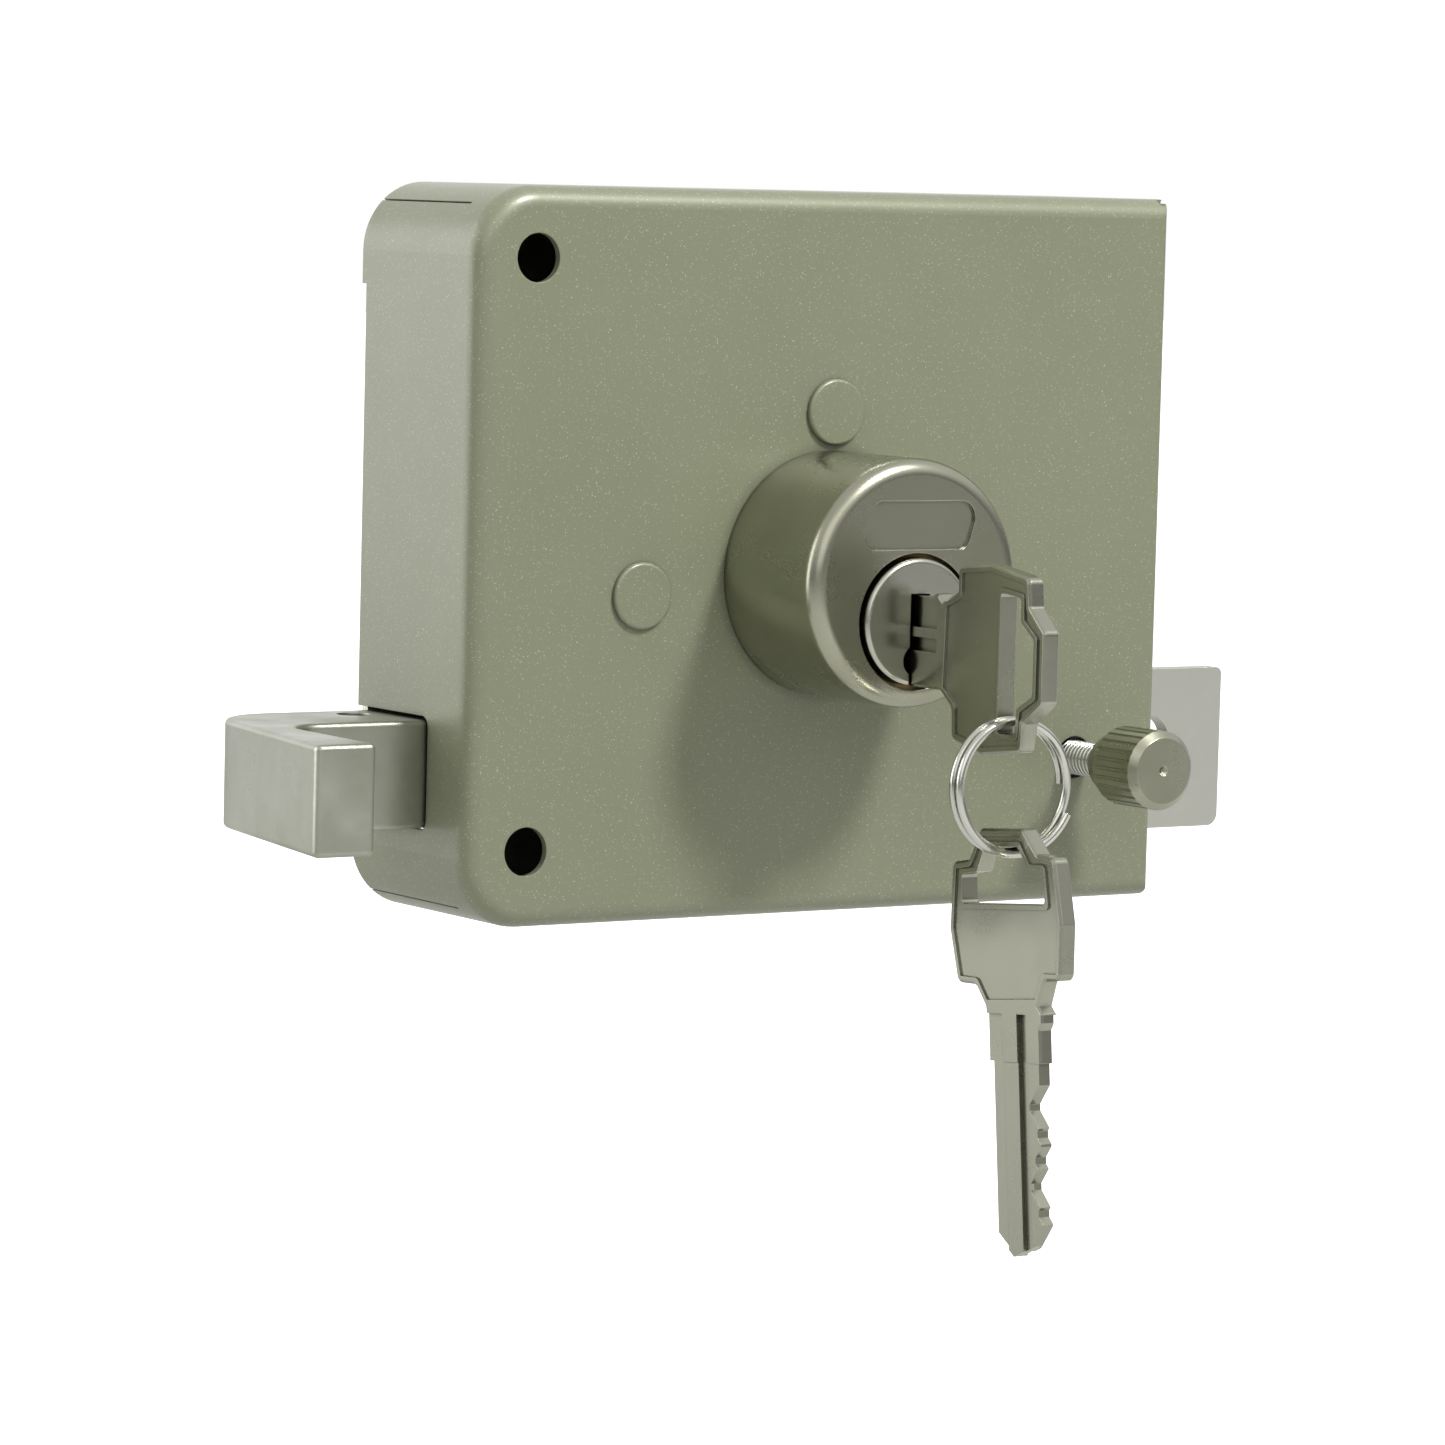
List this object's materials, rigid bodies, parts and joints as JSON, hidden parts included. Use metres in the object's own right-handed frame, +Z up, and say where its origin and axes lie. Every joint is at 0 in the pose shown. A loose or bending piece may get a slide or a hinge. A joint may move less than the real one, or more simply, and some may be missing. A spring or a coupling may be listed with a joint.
{
  "type": "rim lock with hook bolt",
  "caption": "Surface-mounted rim lock: pressed steel case, round key cylinder, claw-shaped hook bolt with a holed tail, knurled thumb-screw snib, and keys on a split ring.",
  "frame": {"origin": "centre of the rear mounting face", "axes": "+Z up, +Y out of the rear face towards the door, -Y towards the key side, -X towards the hook bolt"},
  "size_m": [0.1652, 0.0894, 0.1401],
  "materials": {
    "paint": "satin enamel with fine metal flake",
    "post_metal": "painted over with the case",
    "zinc_plate": "zinc plated, matt",
    "cast_nickel": "nickel plated casting, satin",
    "barrel_nickel": "nickel plated, brushed",
    "plug_nickel": "nickel plated, turned face",
    "key_nickel": "nickel plated, lightly worn",
    "ring_steel": "bright drawn wire",
    "knob_nickel": "nickel plated, fluted",
    "stud_steel": "bright zinc plated thread",
    "brass": "machined",
    "spring_steel": "drawn wire",
    "hard_steel": "ground steel",
    "fastener_steel": "zinc plated"
  },
  "bodies": {
    "case": {"case_cover": "paint", "back_plate": "zinc_plate", "guide_post": "post_metal", "lever_post": "post_metal", "post_washers": "fastener_steel", "case_pillars": "hard_steel", "back_plate_screws": "fastener_steel", "cylinder_shell": "barrel_nickel", "shell_screws": "fastener_steel", "cylinder_body": "brass", "chamber_strip": "brass", "cylinder_nut": "brass", "driver_pins": "brass", "pin_springs": "spring_steel", "snib_bush": "hard_steel", "bolt_guide": "zinc_plate", "return_spring": "spring_steel"},
    "bolt": {"hook_bolt": "cast_nickel", "anti_saw_pin": "hard_steel", "bolt_plate": "zinc_plate", "bolt_rivets": "fastener_steel", "lever_pin": "hard_steel"},
    "lever": {"return_lever": "hard_steel"},
    "plug": {"cylinder_plug": "plug_nickel", "plug_clip": "hard_steel", "bottom_pins": "brass", "cam": "hard_steel", "cam_screw": "fastener_steel", "key": "key_nickel"},
    "ring": {"key_ring": "ring_steel"},
    "spare": {"spare_key": "key_nickel"},
    "stud": {"snib_stud": "stud_steel"},
    "knob": {"snib_knob": "knob_nickel"}
  },
  "joints": [
    {"name": "key_turn", "type": "hinge", "parent": "case", "child": "plug", "pos_m": [-0.0001, -0.03064, -0.0077], "axis": [0, -1, 0], "range_deg": [0, 70.02]},
    {"name": "bolt_slide", "type": "slide", "parent": "case", "child": "bolt", "axis": [1, 0, 0], "range_m": [0, 0.01319]},
    {"name": "lever_swing", "type": "hinge", "parent": "case", "child": "lever", "pos_m": [0.00055, -0.01614, 0.01973], "axis": [0, -1, 0], "range_deg": [0, 15.75], "deforming": ["return_spring"]},
    {"name": "snib_feed", "type": "slide", "parent": "case", "child": "stud", "axis": [0, 1, 0], "range_m": [0, 0.004]},
    {"name": "snib_turn", "type": "hinge", "parent": "stud", "child": "knob", "pos_m": [0.04335, -0.04564, -0.0295], "axis": [0, 1, 0], "range_deg": [0, 1800]},
    {"name": "ring_swing", "type": "hinge", "parent": "plug", "child": "ring", "pos_m": [-0.0001, -0.07564, -0.0198], "axis": [0, 1, 0], "range_deg": [-20, 20]},
    {"name": "spare_swing", "type": "hinge", "parent": "ring", "child": "spare", "pos_m": [-0.0001, -0.07564, -0.0367], "axis": [1, 0, 0], "range_deg": [-6, 6]}
  ],
  "couplings": [
    {"joint": "key_turn", "follows": "bolt_slide", "rad_per_m": 92.61},
    {"joint": "lever_swing", "follows": "bolt_slide", "rad_per_m": 20.819},
    {"joint": "snib_feed", "follows": "snib_turn", "m_per_rad": 0.00012732}
  ]
}
